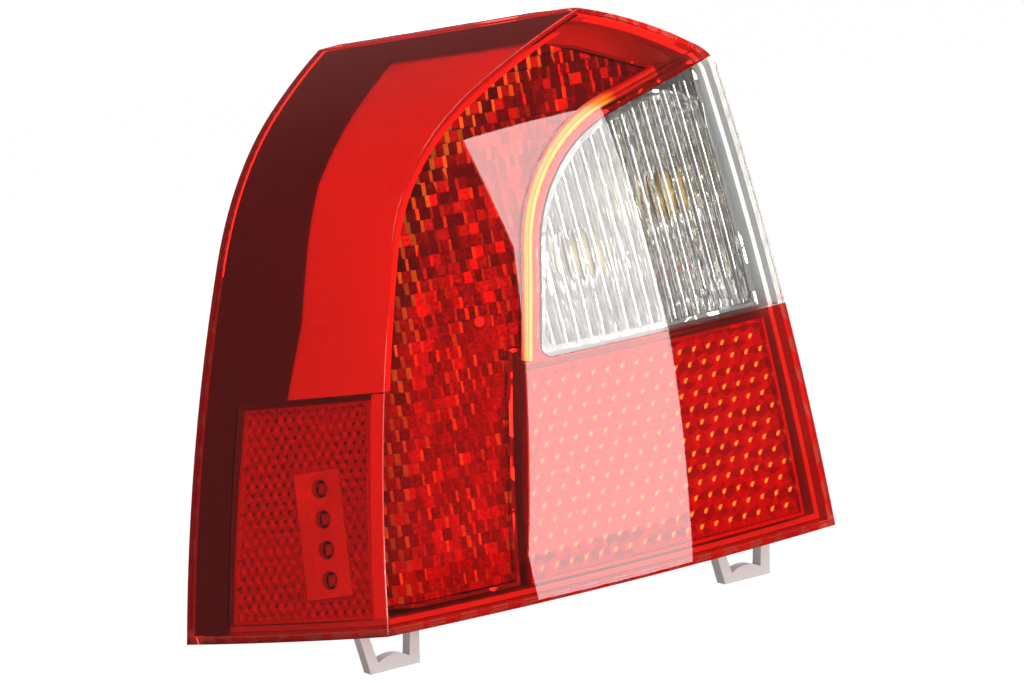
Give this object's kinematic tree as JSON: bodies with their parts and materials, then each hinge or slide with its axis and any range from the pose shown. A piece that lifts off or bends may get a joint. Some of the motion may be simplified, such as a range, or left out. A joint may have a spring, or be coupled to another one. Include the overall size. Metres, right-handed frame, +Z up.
{
  "type": "tail light cluster",
  "caption": "Wrap-round rear lamp with a red lens, clear fluted window, brick optic, reflex inserts, side marker, bulbs and a grey housing on studs.",
  "frame": {"origin": "midway between the two mounting studs, on the seat face of their bosses", "axes": "+X inboard along the rear face, +Y forward into the car along the studs, +Z up"},
  "size_m": [0.2998, 0.1863, 0.285],
  "materials": {
    "board_screws": "zinc plated",
    "brick_optic": "red tinted acrylic with prisms",
    "clear_lens": "clear acrylic, polished, fluted inside",
    "dark_bezel": "dark moulded plastic",
    "holder_seals": "soft black rubber",
    "housing": "grey moulded plastic",
    "lamp_terminals": "tin plated brass",
    "lens_seal": "black bead",
    "marker_bezel": "dark moulded plastic",
    "marker_board": "circuit board",
    "marker_diodes": "moulded diode bodies",
    "marker_pins": "tin plated brass",
    "mounting_studs": "zinc plated steel",
    "optic_rivet": "grey metal",
    "rear_reflex": "red acrylic with cube corners",
    "red_lens": "red tinted acrylic, polished",
    "reverse_bulb": "clear glass",
    "reverse_bulb_base": "plain brass",
    "reverse_holder": "grey moulded plastic",
    "side_panel": "bright moulded plastic",
    "side_reflex": "red acrylic with cube corners",
    "signal_reflector": "metallised plastic",
    "stop_bulb": "clear glass",
    "stop_bulb_base": "plain brass",
    "stop_holder": "grey moulded plastic",
    "stop_reflector": "metallised plastic",
    "stud_seals": "closed cell foam",
    "tail_bulb": "clear glass",
    "tail_bulb_base": "plain brass",
    "tail_holder": "grey moulded plastic",
    "turn_bulb": "amber glass",
    "turn_bulb_base": "plain brass",
    "turn_holder": "grey moulded plastic",
    "vent_cap": "soft black rubber"
  },
  "bodies": {
    "root": {"board_screws": "board_screws", "brick_optic": "brick_optic", "clear_lens": "clear_lens", "dark_bezel": "dark_bezel", "holder_seals": "holder_seals", "housing": "housing", "lamp_terminals": "lamp_terminals", "lens_seal": "lens_seal", "marker_bezel": "marker_bezel", "marker_board": "marker_board", "marker_diodes": "marker_diodes", "marker_pins": "marker_pins", "mounting_studs": "mounting_studs", "optic_rivet": "optic_rivet", "rear_reflex": "rear_reflex", "red_lens": "red_lens", "reverse_bulb": "reverse_bulb", "reverse_bulb_base": "reverse_bulb_base", "reverse_holder": "reverse_holder", "side_panel": "side_panel", "side_reflex": "side_reflex", "signal_reflector": "signal_reflector", "stop_bulb": "stop_bulb", "stop_bulb_base": "stop_bulb_base", "stop_holder": "stop_holder", "stop_reflector": "stop_reflector", "stud_seals": "stud_seals", "tail_bulb": "tail_bulb", "tail_bulb_base": "tail_bulb_base", "tail_holder": "tail_holder", "turn_bulb": "turn_bulb", "turn_bulb_base": "turn_bulb_base", "turn_holder": "turn_holder", "vent_cap": "vent_cap"}
  },
  "joints": []
}
